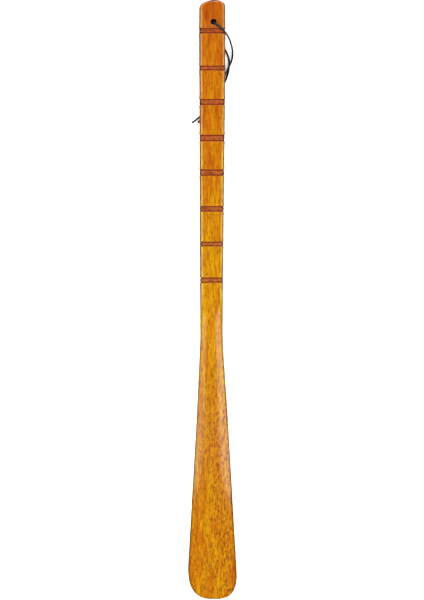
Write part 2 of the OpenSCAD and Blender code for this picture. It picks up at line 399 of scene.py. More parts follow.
def cord_material():
    """Near-black waxed cord: a dull fibre, a little lighter in flecks, with fine threads in it."""
    material = bpy.data.materials.new("black_waxed_cord")
    material.use_nodes = True
    tree = material.node_tree
    tree.nodes.clear()
    output = tree.nodes.new("ShaderNodeOutputMaterial")
    output.label = "cord surface"
    fibre = tree.nodes.new("ShaderNodeBsdfPrincipled")
    fibre.label = "waxed fibre"
    colour_frame = tree.nodes.new("NodeFrame")
    colour_frame.label = "charcoal worn lighter in flecks"
    relief_frame = tree.nodes.new("NodeFrame")
    relief_frame.label = "fine threads along each ply"
    places = tree.nodes.new("ShaderNodeTexCoord")
    places.label = "place along the cord"
    slant = tree.nodes.new("ShaderNodeMapping")
    slant.label = "threads slant with the plies"
    threads = tree.nodes.new("ShaderNodeTexNoise")
    threads.label = "single threads"
    wear = tree.nodes.new("ShaderNodeTexNoise")
    wear.label = "worn and dusty flecks"
    charcoal = tree.nodes.new("ShaderNodeValToRGB")
    charcoal.label = "black to charcoal"
    relief = tree.nodes.new("ShaderNodeBump")
    relief.label = "raised threads"
    charcoal.parent = wear.parent = colour_frame
    slant.parent = threads.parent = relief.parent = relief_frame
    spots = {
        output: (900, 0), fibre: (600, 0), charcoal: (250, 150), wear: (0, 150),
        relief: (250, -250), threads: (0, -250), slant: (-250, -250), places: (-500, 0),
    }
    for node, spot in spots.items():
        node.location = spot
    slant.inputs["Rotation"].default_value = (0, 0, math.radians(35))
    slant.inputs["Scale"].default_value = (14, 0.8, 1)
    threads.inputs["Scale"].default_value = 1.5
    threads.inputs["Detail"].default_value = 3
    wear.inputs["Scale"].default_value = 1.7
    wear.inputs["Detail"].default_value = 4
    charcoal.color_ramp.elements[0].position = 0.38
    charcoal.color_ramp.elements[0].color = (0.002, 0.002, 0.002, 1)
    charcoal.color_ramp.elements[1].position = 0.72
    charcoal.color_ramp.elements[1].color = (0.005, 0.004, 0.004, 1)
    relief.inputs["Strength"].default_value = 0.5
    relief.inputs["Distance"].default_value = 0.0001
    fibre.inputs["Roughness"].default_value = 0.6
    fibre.inputs["Specular IOR Level"].default_value = 0.18
    tree.links.new(places.outputs["UV"], slant.inputs["Vector"])
    tree.links.new(places.outputs["UV"], wear.inputs["Vector"])
    tree.links.new(slant.outputs["Vector"], threads.inputs["Vector"])
    tree.links.new(threads.outputs["Fac"], relief.inputs["Height"])
    tree.links.new(wear.outputs["Fac"], charcoal.inputs["Fac"])
    tree.links.new(charcoal.outputs["Color"], fibre.inputs["Base Color"])
    tree.links.new(relief.outputs["Normal"], fibre.inputs["Normal"])
    tree.links.new(fibre.outputs["BSDF"], output.inputs["Surface"])
    return material


# ---- The wood, as functions of the station ----


def ring_distance(station):
    """Distance from the nearest ring's centre, where the ring's own cuts are at 1."""
    centres = TOTAL_LENGTH - np.array(RING_PLACES)
    apart = np.abs(np.asarray(station)[..., None] - centres)
    return (apart / np.array(RING_HALVES)).min(-1)


def inset(station):
    """Depth below the plain handle: a shallow bead between two cuts, with swollen wood beside.

    The bead is recessed and slightly crowned, each cut is a narrow bell, and the swelling
    falls away over about twice the ring's width.
    """
    d = ring_distance(station)
    bead = RING_RECESS - RING_CROWN * (1 - np.clip(d / CROWN_REACH, 0, 1) ** 2)
    swell = -RING_SWELL * (1 - ease(d, *SWELL_REACH))
    plain = bead + (swell - bead) * ease(d, *BEAD_SIDE)
    cut = np.exp(-(((d - 1) / CUT_SPREAD) ** 2))
    return plain + CUT_DEPTH * cut


def outline_half(station):
    """Half the width before the ends are rounded: the wider of two straight tapers, blended.

    The blend is their mean, plus the root of the sum of two squares: half their difference, and
    the size of the blend.
    """
    up_handle = np.clip((station - WAIST_STATION) / (WIDE_STATION - WAIST_STATION), 0, 1)
    handle = WAIST_WIDTH / 2 + (HANDLE_WIDTH - WAIST_WIDTH) / 2 * up_handle
    widening = (WIDTH_BEFORE_ROUNDING * BLADE_WIDTH - WAIST_WIDTH) / 2
    slope = widening / (FLARE_STATION - WIDEST_STATION)
    blade = WAIST_WIDTH / 2 + slope * (FLARE_STATION - station)
    return (handle + blade) / 2 + np.sqrt(((handle - blade) / 2) ** 2 + WAIST_BLEND**2)


def tip_shift(station):
    """Sideways offset of the tip, which falls to 0 as the square of the way that is left."""
    return TIP_OFFSET * np.clip(1 - station / TIP_OFFSET_REACH, 0, 1) ** 2


def cut_half(station):
    """Half the finished width: the outline less the rings, with a squarish round tip.

    The tip's round is a quarter of a superellipse: the root of 1 less t, each to its power.
    """
    t = np.clip((TIP_LENGTH - station) / TIP_LENGTH, 0, 1)
    return outline_half(station) * (1 - t**TIP_POWER) ** (1 / TIP_POWER) - inset(station)


def waist_bow(station):
    """Sideways bow of the body to the left: one S-curve up to the waist and one down from it."""
    grows, holds, fades, gone = BOW_STATIONS
    return -WAIST_BOW * ease(station, grows, holds) * (1 - ease(station, fades, gone))


def side_places(station):
    """The right and left edges: the tip's shift either side of it, or a quarter-round shoulder
    each that runs in to the crown of the handle's end.
    """
    half = cut_half(station)
    shift = tip_shift(station)
    to_end = TOTAL_LENGTH - station
    end_right = CROWN_X + (half - CROWN_X) * quarter(to_end, RIGHT_SHOULDER)
    end_left = CROWN_X - (half + CROWN_X) * quarter(to_end, LEFT_SHOULDER)
    right = np.where(station < MIDDLE, shift + half, end_right)
    left = np.where(station < MIDDLE, shift - half, end_left)
    return right, left


def back_height(station):
    """Height of the back: a square-law sweep up to the tip, and an S-curve up to the handle."""
    tip = TIP_RISE * (1 - station / BELLY_STATION) ** 2
    handle = HANDLE_LIFT * ease(station, BELLY_STATION, LEVEL_STATION)
    return np.where(station < BELLY_STATION, tip, handle)


def plain_half(station):
    """Half the thickness along the middle, before rings and ends: two S-curves less a groove."""
    thin = BLADE_THICKNESS / 2 * (TIP_SHARE + (1 - TIP_SHARE) * ease(station, 0, THIN_STATION))
    deepening = ease(station, DEEP_STATIONS[1], GROOVE_STATION)
    groove = GROOVE_DEPTH / 2 * deepening * (1 - ease(station, NECK_STATION, SCOOP_STATION))
    swelling = ease(station, THIN_STATION, FULL_STATION)
    return thin + (HANDLE_THICKNESS / 2 - thin) * swelling - groove


def scoop(station):
    """How far the blade's edges stand above its middle: one S-curve up from the tip's share to
    the full rise, and two that end it, a slow one down the body and a steep one at the neck.
    """
    deepening = FLAT_SHARE + (1 - FLAT_SHARE) * ease(station, FLAT_STATION, DEEP_STATIONS[0])
    neck = NECK_SHARE * (1 - ease(station, NECK_STATION, SCOOP_STATION))
    body = (1 - NECK_SHARE) * (1 - ease(station, DEEP_STATIONS[1], SLOW_STATION))
    return SCOOP_RISE * deepening * (neck + body)


def edge_share(station):
    """Thickness of the edges against that of the middle: an S-curve up the blade to 1."""
    return 1 - (1 - EDGE_SHARE) * (1 - ease(station, THIN_STATION, SCOOP_STATION))


def edge_spread(station):
    """Width of the rounded corners against their depth: an S-curve from blade to handle."""
    on_handle = ease(station, *EDGE_STATIONS)
    return BLADE_EDGE_SPREAD + (EDGE_WIDTH / EDGE_DEPTH - BLADE_EDGE_SPREAD) * on_handle


def section_marks():
    """Marks round one section: side across the width, face up or down, and turn of the corner."""
    corner = np.radians(np.linspace(0, 90, CORNER_POINTS))
    across = np.linspace(1, -1, FACE_POINTS + 2)[1:-1]
    level = np.full(FACE_POINTS, np.pi / 2)
    ones, flat = np.ones(CORNER_POINTS), np.ones(FACE_POINTS)
    side = np.concatenate([ones, across, -ones, -ones, -across, ones])
    face = np.concatenate([ones, flat, ones, -ones, -flat, -ones])
    turn = np.concatenate([corner, level, corner[::-1], corner, level, corner[::-1]])
    return side, face, turn


def wood_stations():
    """Stations close together at the tip, the rings and the handle's end, and even elsewhere."""
    tip = TIP_LENGTH * np.linspace(0, 1, 46) ** 2.5
    middle = np.arange(TIP_LENGTH, TOTAL_LENGTH - END_LENGTH, STATION_SPACING)
    end = TOTAL_LENGTH - END_LENGTH * np.linspace(0, 1, 34) ** 2
    near = np.concatenate([np.linspace(-3.6, 3.6, 41), [-6.4, -5, -4.2, 4.2, 5, 6.4]])
    rings = (TOTAL_LENGTH - np.array(RING_PLACES)[:, None] + near).ravel()
    stations = np.unique(np.concatenate([tip, middle, end, rings]))
    keep = np.concatenate([[True], np.diff(stations) > 0.02])
    return stations[keep]


def wood_surface():
    """Points of the whole body, station by station.

    A section's width runs between its two edges, with corners rounded as quarters of an
    ellipse, which take at most 0.85 of the half thickness and 0.8 of the half width. Its middle
    line bends up as the square of the way across, and it thins the same way.
    """
    s = wood_stations()[:, None]
    side, face, turn = (m[None, :] for m in section_marks())
    right, left = side_places(s)
    centre = (right + left) / 2
    half_width = np.maximum(LEAST_HALF_WIDTH, (right - left) / 2)
    lip = LIP_SHARE + (1 - LIP_SHARE) * quarter(s, LIP_RADIUS)
    end_fall = END_RADIUS * (1 - quarter(TOTAL_LENGTH - s, END_RADIUS))
    half = (plain_half(s) - inset(s) - end_fall) * lip
    deep = np.minimum(EDGE_DEPTH, np.minimum(0.85 * half * edge_share(s), 0.8 * half_width))
    wide = np.minimum(deep * edge_spread(s), half_width)
    x = centre + side * (half_width - wide + wide * np.cos(turn))
    u = ((x - tip_shift(s)) / outline_half(s)) ** 2
    reach = half * (1 - (1 - edge_share(s)) * u) - deep + deep * np.sin(turn)
    z = back_height(s) + plain_half(s) + scoop(s) * u + face * reach
    return np.stack([x + waist_bow(s), np.broadcast_to(s - MIDDLE, x.shape), z], -1)


def hole_cutter():
    """A spindle that cuts the hole: a cylinder that flares out in a quarter-round at each face."""
    low, high = HANDLE_LIFT, HANDLE_LIFT + HANDLE_THICKNESS
    rise = HOLE_RIM * (1 - np.cos(np.linspace(0, np.pi / 2, 9)))
    below, above = low - CUTTER_OVERSHOOT, high + CUTTER_OVERSHOOT
    heights = np.concatenate([[below], low + rise, (high - rise)[::-1], [above]])
    to_face = np.clip(np.minimum(heights - low, high - heights), 0, HOLE_RIM)
    radius = HOLE_DIAMETER / 2 + HOLE_RIM * (1 - quarter(to_face, HOLE_RIM))
    turn = np.arange(CUTTER_SIDES) / CUTTER_SIDES * 2 * np.pi
    x = HOLE_X + radius[:, None] * np.cos(turn)
    y = HOLE_Y + radius[:, None] * np.sin(turn)
    z = np.broadcast_to(heights[:, None], x.shape)
    points = np.stack([x, y, z], -1).reshape(-1, 3) * MM
    faces = grid_faces(len(heights), CUTTER_SIDES)[:, ::-1].tolist()
    faces.append(list(range(CUTTER_SIDES - 1, -1, -1)))
    faces.append(list(range(len(points) - CUTTER_SIDES, len(points))))
    return make_piece("hole_cutter", points, faces)


# Streaks and patches of the wood: place across and along, half width, half length, and how much
# yellower (above 0) or redder (below 0) the wood is there. Millimetres from the middle.
STREAKS = (
    (-14.5, -212, 1.7, 34, -1.1), (-10.5, -150, 2.0, 40, -0.3), (-4.5, -205, 2.2, 55, 0.8),
    (-0.5, -75, 3.0, 55, 0.6), (2.5, -125, 3.4, 30, -0.7), (3.0, -165, 2.6, 25, -0.4),
    (18.5, -252, 4.5, 10, -1.3), (-20.0, -245, 2.6, 16, -0.9), (12.0, -190, 3.5, 45, 0.4),
    (5.0, -235, 5.0, 22, 0.5), (-5.0, 262, 3.0, 9, -1.2), (-2.0, 240, 2.0, 14, -0.5),
    (6.5, 222, 2.6, 14, -0.8), (-3.0, 208, 3.0, 9, -0.5), (4.5, 170, 1.8, 14, -0.6),
    (-6.0, 165, 1.8, 12, -0.5), (-3.0, 128, 5.0, 12, -0.3), (5.0, 118, 2.0, 13, -0.7),
    (1.0, 95, 3.0, 16, 0.5), (3.5, 60, 1.8, 13, -0.5), (-4.0, 34, 2.6, 14, 0.4),
    (-1.5, -20, 2.0, 12, -0.6), (-4.5, -38, 1.2, 24, -0.6), (4.5, -10, 1.5, 18, -0.4),
)


def streak_tone(x, y):
    """Tone of the wood at a place: the sum of the streaks, each a bell across and along."""
    tone = np.zeros(len(x))
    for at_x, at_y, half_width, half_length, strength in STREAKS:
        across = ((x - at_x) / half_width) ** 2
        along = ((y - at_y) / half_length) ** 2
        tone += strength * np.exp(-across - along)
    return tone


def carved_wood():
    """The body's mesh: its closed surface with the hole drilled through it."""
    rows = wood_surface()
    count, around = rows.shape[:2]
    faces = grid_faces(count, around).tolist()
    faces.append(list(range(around - 1, -1, -1)))
    faces.append(list(range((count - 1) * around, count * around)))
    blank = make_piece("blank", rows.reshape(-1, 3) * MM, faces)
    cutter = hole_cutter()
    drill = blank.modifiers.new("drill", "BOOLEAN")
    drill.operation = "DIFFERENCE"
    drill.solver = "EXACT"
    drill.object = cutter
    bpy.context.view_layer.update()
    drilled = blank.evaluated_get(bpy.context.evaluated_depsgraph_get())
    mesh = bpy.data.meshes.new_from_object(drilled)
    bpy.data.objects.remove(blank)
    bpy.data.objects.remove(cutter)
    mesh.name = "wooden_body_carved"
    mesh.polygons.foreach_set("use_smooth", np.ones(len(mesh.polygons), bool))
    return mesh


def finish_facts(mesh):
    """What the finish follows at each vertex, mostly as S-curves from 0 to 1.

    flecks grow towards the tip and to the right. The edge mask is painted shade: 1 along the
    outline, a little wider on the handle's left, and faint on the upright walls. The sheen mask is
    a painted sheen where the surface leans outwards, and a little where it leans inwards. The hole
    mask is painted shade in the hole. thin is where there is less lacquer: the most of the edge
    mask, the beads and a share of where the surface leans inwards.
    """
    places = np.zeros(len(mesh.vertices) * 3, np.float32)
    mesh.vertices.foreach_get("co", places)
    normals = np.zeros(len(mesh.vertices) * 3, np.float32)
    mesh.vertices.foreach_get("normal", normals)
    x, y, _ = places.reshape(-1, 3).T / MM
    station = y + MIDDLE
    right, left = side_places(station)
    from_middle = x - waist_bow(station) - (right + left) / 2
    to_end = np.minimum(station, TOTAL_LENGTH - station)
    to_edge = np.minimum((right - left) / 2 - np.abs(from_middle), to_end)
    # outward is how far the surface leans sideways; the painted sheen follows it
    outward = normals.reshape(-1, 3)[:, 0] * np.sign(from_middle)
    leans_in = ease(-outward, *LEAN_IN)
    off_wall = 1 - 0.8 * ease(outward, *UPRIGHT)
    further_in = np.where(from_middle < 0, LEFT_RIM_EXTRA, 0) * ease(station, *EDGE_STATIONS)
    # painted shade: dark along the outline, a little wider on the handle's left, faint on upright
    # walls
    painted_edge_shade = off_wall * (1 - ease(to_edge - further_in, *RIM_REACH))
    apart = ring_distance(station)
    beads = 0.75 * (1 - ease(apart, *STAIN_REACH))
    # painted shade in the hole, fading out from its wall
    from_hole = np.hypot(x - HOLE_X, y - HOLE_Y) - HOLE_DIAMETER / 2
    return {
        "ring_distance": apart,
        "tone": streak_tone(x, y),
        "flecks": (1 - ease(station, *FLECK_STATIONS)) * (0.4 + 0.6 * ease(x, *FLECK_SIDES)),
        "hole": 1 - ease(from_hole, *HOLE_SHADE),
        "painted_edge_shade": painted_edge_shade,
        # painted sheen: paler where the surface leans outwards, a little where it leans inwards
        "painted_sheen": 0.93 * off_wall * ease(outward, *LEAN_OUT) + 0.2 * leans_in,
        "thin": np.maximum(np.maximum(painted_edge_shade, beads), 0.35 * leans_in),
    }


def add_wood(material):
    """The wooden body, with the facts that its finish, painted shade and painted sheen follow as
    attributes.
    """
    mesh = carved_wood()
    for name, values in finish_facts(mesh).items():
        layer = mesh.attributes.new(name, "FLOAT", "POINT")
        layer.data.foreach_set("value", values.astype(np.float32))
    body = bpy.data.objects.new("wooden_body_carved", mesh)
    bpy.context.scene.collection.objects.link(body)
    mesh.materials.clear()
    mesh.materials.append(material)
    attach(body, "root")
    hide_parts("wooden_body")


def wood_material():
    """Amber hardwood under clear lacquer, streaked along the grain, with stained rings, painted
    shade along the outline and in the hole, and a painted sheen where the surface leans sideways.
    """
    material = bpy.data.materials.new("amber_lacquered_wood")
    material.use_nodes = True
    tree = material.node_tree
    tree.nodes.clear()

    tone_frame = tree.nodes.new("NodeFrame")
    tone_frame.label = "colour of the wood along the body"
    grain_frame = tree.nodes.new("NodeFrame")
    grain_frame.label = "grain streaks"
    pore_frame = tree.nodes.new("NodeFrame")
    pore_frame.label = "open pores"
    fleck_frame = tree.nodes.new("NodeFrame")
    fleck_frame.label = "slanting flecks on the blade"
    ring_frame = tree.nodes.new("NodeFrame")
    ring_frame.label = "stained rings"
    # painted sheen on surfaces that lean sideways, and painted shade along the outline
    edge_frame = tree.nodes.new("NodeFrame")
    edge_frame.label = "rubbed corners and dark edges"
    relief_frame = tree.nodes.new("NodeFrame")
    relief_frame.label = "lacquer that sinks into the grain and thins at edges"

    output = tree.nodes.new("ShaderNodeOutputMaterial")
    output.label = "wood surface"
    lacquer = tree.nodes.new("ShaderNodeBsdfPrincipled")
    lacquer.label = "wood under lacquer"
    places = tree.nodes.new("ShaderNodeTexCoord")
    places.label = "place on the body"

    sway = tree.nodes.new("ShaderNodeTexNoise")
    sway.label = "slow sway of the grain"
    sway_middle = tree.nodes.new("ShaderNodeVectorMath")
    sway_middle.label = "sway both ways"
    sway_size = tree.nodes.new("ShaderNodeVectorMath")
    sway_size.label = "a few millimetres across"
    swayed = tree.nodes.new("ShaderNodeVectorMath")
    swayed.label = "swayed place"
    long_grain = tree.nodes.new("ShaderNodeMapping")
    long_grain.label = "streaks run along the body"
    broad = tree.nodes.new("ShaderNodeTexNoise")
    broad.label = "broad bands of growth"
    fine = tree.nodes.new("ShaderNodeTexNoise")
    fine.label = "fine streaks"
    broad_colour = tree.nodes.new("ShaderNodeValToRGB")
    broad_colour.label = "orange to yellow amber"
    fine_colour = tree.nodes.new("ShaderNodeValToRGB")
    fine_colour.label = "darker streaks"
    fine_on = tree.nodes.new("ShaderNodeMix")
    fine_on.label = "streaks over bands"

    apart = tree.nodes.new("ShaderNodeSeparateXYZ")
    apart.label = "place along the length"
    length_share = tree.nodes.new("ShaderNodeMapRange")
    length_share.label = "tip to handle end"
    length_colour = tree.nodes.new("ShaderNodeValToRGB")
    length_colour.label = "redder at the handle end"
    length_on = tree.nodes.new("ShaderNodeMix")
    length_on.label = "tint along the length"
    tone = tree.nodes.new("ShaderNodeAttribute")
    tone.label = "streaks and patches"
    tone_share = tree.nodes.new("ShaderNodeMapRange")
    tone_share.label = "redder to yellower"
    tone_colour = tree.nodes.new("ShaderNodeValToRGB")
    tone_colour.label = "tint of streaks and patches"
    tone_on = tree.nodes.new("ShaderNodeMix")
    tone_on.label = "tint by streak"

    pore_place = tree.nodes.new("ShaderNodeMapping")
    pore_place.label = "pores a few millimetres long"
    pore_noise = tree.nodes.new("ShaderNodeTexNoise")
    pore_noise.label = "pore pattern"
    pore_cut = tree.nodes.new("ShaderNodeMapRange")
    pore_cut.label = "only the deepest are open"
    pore_on = tree.nodes.new("ShaderNodeMix")
    pore_on.label = "dark pores"

    fleck_place = tree.nodes.new("ShaderNodeMapping")
    fleck_place.label = "flecks slant one way"
    fleck_back = tree.nodes.new("ShaderNodeMapping")
    fleck_back.label = "flecks slant the other way"
    fleck_noise = tree.nodes.new("ShaderNodeTexNoise")
    fleck_noise.label = "first flecks"
    fleck_noise_back = tree.nodes.new("ShaderNodeTexNoise")
    fleck_noise_back.label = "second flecks"
    fleck_most = tree.nodes.new("ShaderNodeMath")
    fleck_most.label = "either kind of fleck"
    fleck_cut = tree.nodes.new("ShaderNodeMapRange")
    fleck_cut.label = "short separate flecks"
    blade = tree.nodes.new("ShaderNodeAttribute")
    blade.label = "how far down the blade"
    fleck_share = tree.nodes.new("ShaderNodeMath")
    fleck_share.label = "flecks only on the blade"
    fleck_on = tree.nodes.new("ShaderNodeMix")
    fleck_on.label = "brown flecks"

    ring = tree.nodes.new("ShaderNodeAttribute")
    ring.label = "how far from a ring, its cuts at 1"
    brush = tree.nodes.new("ShaderNodeTexNoise")
    brush.label = "uneven brush of stain"
    brushed = tree.nodes.new("ShaderNodeMath")
    brushed.label = "uneven edge of the stain"
    stain_share = tree.nodes.new("ShaderNodeMapRange")
    stain_share.label = "stain on the bead"
    stain_colour = tree.nodes.new("ShaderNodeValToRGB")
    stain_colour.label = "terracotta, patchy"
    stain_tint = tree.nodes.new("ShaderNodeMix")
    stain_tint.label = "stain tinted as the wood below it"
    stain_on = tree.nodes.new("ShaderNodeMix")
    stain_on.label = "stained bead"
    cut_middle = tree.nodes.new("ShaderNodeMath")
    cut_middle.label = "from the middle of a cut"
    cut_away = tree.nodes.new("ShaderNodeMath")
    cut_away.label = "either side of a cut"
    cut_share = tree.nodes.new("ShaderNodeMapRange")
    cut_share.label = "dark in the cuts"
    cut_on = tree.nodes.new("ShaderNodeMix")
    cut_on.label = "burnt cuts"
    # painted shade in the hole
    hole = tree.nodes.new("ShaderNodeAttribute")
    hole.label = "in the hole"
    painted_hole_shade_on = tree.nodes.new("ShaderNodeMix")
    painted_hole_shade_on.label = "dark raw wood in the hole"
    # painted sheen: the wood is made paler and yellower where it leans sideways
    painted_sheen = tree.nodes.new("ShaderNodeAttribute")
    painted_sheen.label = "how far the surface leans sideways"
    painted_sheen_on = tree.nodes.new("ShaderNodeMix")
    painted_sheen_on.label = "stain rubbed thin on corners and flanks"
    # painted shade: the wood is darkened along the outline
    painted_edge_shade = tree.nodes.new("ShaderNodeAttribute")
    painted_edge_shade.label = "how near the edge"
    painted_edge_shade_on = tree.nodes.new("ShaderNodeMix")
    painted_edge_shade_on.label = "stain gathers along the very edge"
    thin = tree.nodes.new("ShaderNodeAttribute")
    thin.label = "edges, beads and the scoop's flanks"
    bare = tree.nodes.new("ShaderNodeMath")
    bare.label = "cuts, edges, beads and flanks together"
    coat = tree.nodes.new("ShaderNodeMapRange")
    coat.label = "lacquer rubbed thin there"

    peel = tree.nodes.new("ShaderNodeTexNoise")
    peel.label = "lacquer not quite level"
    grain_height = tree.nodes.new("ShaderNodeMath")
    grain_height.label = "grain height"
    pore_height = tree.nodes.new("ShaderNodeMath")
    pore_height.label = "pores sink"
    relief = tree.nodes.new("ShaderNodeBump")
    relief.label = "relief of the wood"
    peel_relief = tree.nodes.new("ShaderNodeBump")
    peel_relief.label = "relief of the lacquer"
    dullness = tree.nodes.new("ShaderNodeMapRange")
    dullness.label = "duller where pores are open"

    for node in (apart, length_share, length_colour, length_on, tone, tone_share, tone_colour,
                 tone_on):
        node.parent = tone_frame
    for node in (sway, sway_middle, sway_size, swayed, long_grain, broad, fine, broad_colour,
                 fine_colour, fine_on):
        node.parent = grain_frame
    for node in (pore_place, pore_noise, pore_cut, pore_on):
        node.parent = pore_frame
    for node in (fleck_place, fleck_back, fleck_noise, fleck_noise_back, fleck_most, fleck_cut,
                 blade, fleck_share, fleck_on):
        node.parent = fleck_frame
    for node in (ring, brush, brushed, stain_share, stain_colour, stain_tint, stain_on, cut_middle,
                 cut_away, cut_share, cut_on, hole, painted_hole_shade_on):
        node.parent = ring_frame
    for node in (painted_sheen, painted_sheen_on, painted_edge_shade, painted_edge_shade_on):
        node.parent = edge_frame
    for node in (peel, grain_height, pore_height, relief, peel_relief, dullness, thin, bare,
                 coat):
        node.parent = relief_frame
    columns = (
        (places, sway, apart, tone, blade, ring, hole, painted_sheen, painted_edge_shade, thin),
        (sway_middle, length_share, tone_share, pore_place, fleck_place, fleck_back, brush),
        (sway_size, length_colour, tone_colour, pore_noise, fleck_noise, fleck_noise_back, brushed),
        (swayed, pore_cut, fleck_most, stain_share, stain_colour, cut_middle),
        (long_grain, fleck_cut, cut_away, peel),
        (broad, fine, fleck_share, cut_share, grain_height),
        (broad_colour, fine_colour, pore_height, dullness),
        (fine_on, length_on, relief),
        (tone_on, pore_on, peel_relief),
        (fleck_on, stain_tint, stain_on),
        (painted_sheen_on, bare),
        (cut_on, coat),
        (painted_edge_shade_on, painted_hole_shade_on),
        (lacquer,),
        (output,),
    )
    for column, nodes in enumerate(columns):
        for row, node in enumerate(nodes):
            node.location = (column * 260, -row * 320)

    sway.inputs["Scale"].default_value = 11
    sway.inputs["Detail"].default_value = 1
    sway_middle.operation = "SUBTRACT"
    sway_middle.inputs[1].default_value = (0.5, 0.5, 0.5)
    sway_size.operation = "MULTIPLY"
    sway_size.inputs[1].default_value = (0.012, 0, 0.012)
    swayed.operation = "ADD"
    long_grain.inputs["Rotation"].default_value = (0, 0, math.radians(1.5))
    long_grain.inputs["Scale"].default_value = (1, 0.11, 1)
    broad.inputs["Scale"].default_value = 190
    broad.inputs["Detail"].default_value = 2
    fine.inputs["Scale"].default_value = 760
    fine.inputs["Detail"].default_value = 3
    fine.inputs["Roughness"].default_value = 0.6
    broad_colour.color_ramp.elements[0].position = 0.34
    broad_colour.color_ramp.elements[0].color = (0.232, 0.070, 0.0002, 1)
    broad_colour.color_ramp.elements[1].position = 0.66
    broad_colour.color_ramp.elements[1].color = (0.262, 0.109, 0.0005, 1)
    fine_colour.color_ramp.elements[0].position = 0.38
    fine_colour.color_ramp.elements[0].color = (0.80, 0.63, 0.45, 1)
    fine_colour.color_ramp.elements[1].position = 0.58
    fine_colour.color_ramp.elements[1].color = (1.05, 1.11, 1, 1)
    for mix in (fine_on, length_on, tone_on, stain_tint):
        mix.data_type = "RGBA"
        mix.blend_type = "MULTIPLY"
        mix.inputs["Factor"].default_value = 1
    length_share.inputs["From Min"].default_value = wood_low.y
    length_share.inputs["From Max"].default_value = wood_high.y
    ramp = length_colour.color_ramp
    ramp.elements[0].position = 0
    ramp.elements[0].color = (0.96, 1.02, 1, 1)
    ramp.elements[1].position = 1
    ramp.elements[1].color = (0.77, 0.52, 0.6, 1)
    for position, colour in (
        (0.25, (0.97, 1.03, 1, 1)),
        (0.42, (1.02, 1.18, 1, 1)),
        (0.56, (0.95, 1.11, 1.26, 1)),
        (0.72, (0.92, 0.91, 0.97, 1)),
        (0.92, (0.87, 0.70, 0.8, 1)),
    ):
        ramp.elements.new(position).color = colour
    tone.attribute_name = "tone"
    tone_share.inputs["From Min"].default_value = -1.2
    tone_share.inputs["From Max"].default_value = 1.2
    ramp = tone_colour.color_ramp
    ramp.elements[0].position = 0
    ramp.elements[0].color = (0.86, 0.56, 0.6, 1)
    ramp.elements[1].position = 1
    ramp.elements[1].color = (1.03, 1.22, 1.1, 1)
    ramp.elements.new(0.5).color = (1, 1, 1, 1)

    pore_place.inputs["Scale"].default_value = (1, 0.24, 1)
    pore_noise.inputs["Scale"].default_value = 980
    pore_noise.inputs["Detail"].default_value = 1
    pore_cut.inputs["From Min"].default_value = 0.57
    pore_cut.inputs["From Max"].default_value = 0.68
    pore_cut.inputs["To Max"].default_value = 0.72
    pore_on.data_type = "RGBA"
    pore_on.inputs["B"].default_value = (0.12, 0.027, 0.001, 1)

    fleck_place.inputs["Rotation"].default_value = (0, 0, math.radians(42))
    fleck_place.inputs["Scale"].default_value = (1, 0.26, 1)
    fleck_back.inputs["Location"].default_value = (0.31, 0.17, 0)
    fleck_back.inputs["Rotation"].default_value = (0, 0, math.radians(-42))
    fleck_back.inputs["Scale"].default_value = (1, 0.26, 1)
    for noise in (fleck_noise, fleck_noise_back):
        noise.inputs["Scale"].default_value = 800
        noise.inputs["Detail"].default_value = 1
    fleck_most.operation = "MAXIMUM"
    fleck_cut.inputs["From Min"].default_value = 0.6
    fleck_cut.inputs["From Max"].default_value = 0.65
    fleck_cut.inputs["To Max"].default_value = 0.9
    blade.attribute_name = "flecks"
    fleck_share.operation = "MULTIPLY"
    fleck_on.data_type = "RGBA"
    fleck_on.inputs["B"].default_value = (0.085, 0.02, 0.001, 1)

    ring.attribute_name = "ring_distance"
    brush.inputs["Scale"].default_value = 420
    brush.inputs["Detail"].default_value = 3
    brushed.operation = "MULTIPLY_ADD"
    brushed.inputs[1].default_value = 0.42
    stain_share.inputs["From Min"].default_value = 1.53
    stain_share.inputs["From Max"].default_value = 1.3
    stain_colour.color_ramp.elements[0].position = 0.35
    stain_colour.color_ramp.elements[0].color = (0.10, 0.018, 0.002, 1)
    stain_colour.color_ramp.elements[1].position = 0.68
    stain_colour.color_ramp.elements[1].color = (0.215, 0.060, 0.010, 1)
    stain_on.data_type = "RGBA"
    cut_middle.operation = "SUBTRACT"
    cut_middle.inputs[1].default_value = 1
    cut_away.operation = "ABSOLUTE"
    cut_share.inputs["From Min"].default_value = 0.42
    cut_share.inputs["From Max"].default_value = 0.18
    cut_share.inputs["To Max"].default_value = 0.92
    cut_on.data_type = "RGBA"
    cut_on.inputs["B"].default_value = (0.10, 0.0105, 0.0003, 1)
    painted_sheen.attribute_name = "painted_sheen"
    painted_edge_shade.attribute_name = "painted_edge_shade"
    thin.attribute_name = "thin"
    for mix in (painted_sheen_on, painted_edge_shade_on):
        mix.data_type = "RGBA"
        mix.blend_type = "MULTIPLY"
    # painted sheen: the tint that makes leaning surfaces paler and yellower
    painted_sheen_on.inputs["B"].default_value = (1.14, 1.6, 1.2, 1)
    # painted shade: the colour along the outline is multiplied by this dark tint
    painted_edge_shade_on.inputs["B"].default_value = (0.28, 0.24, 0.3, 1)
    bare.operation = "MAXIMUM"
    coat.inputs["To Min"].default_value = 1
    coat.inputs["To Max"].default_value = 0
    hole.attribute_name = "hole"
    painted_hole_shade_on.data_type = "RGBA"
    # painted shade in the hole: nearly black
    painted_hole_shade_on.inputs["B"].default_value = (0.02, 0.006, 0.002, 1)

    peel.inputs["Scale"].default_value = 230
    peel.inputs["Detail"].default_value = 1
    grain_height.operation = "MULTIPLY"
    grain_height.inputs[1].default_value = 0.35
    pore_height.operation = "SUBTRACT"
    relief.inputs["Strength"].default_value = 0.35
    relief.inputs["Distance"].default_value = 0.00008
    peel_relief.inputs["Strength"].default_value = 0.12
    peel_relief.inputs["Distance"].default_value = 0.0002
    dullness.inputs["To Min"].default_value = 0.38
    dullness.inputs["To Max"].default_value = 0.6

    lacquer.inputs["IOR"].default_value = 1.45
    lacquer.inputs["Specular IOR Level"].default_value = 0
    lacquer.inputs["Coat Roughness"].default_value = 0.19
    lacquer.inputs["Coat IOR"].default_value = 1.5

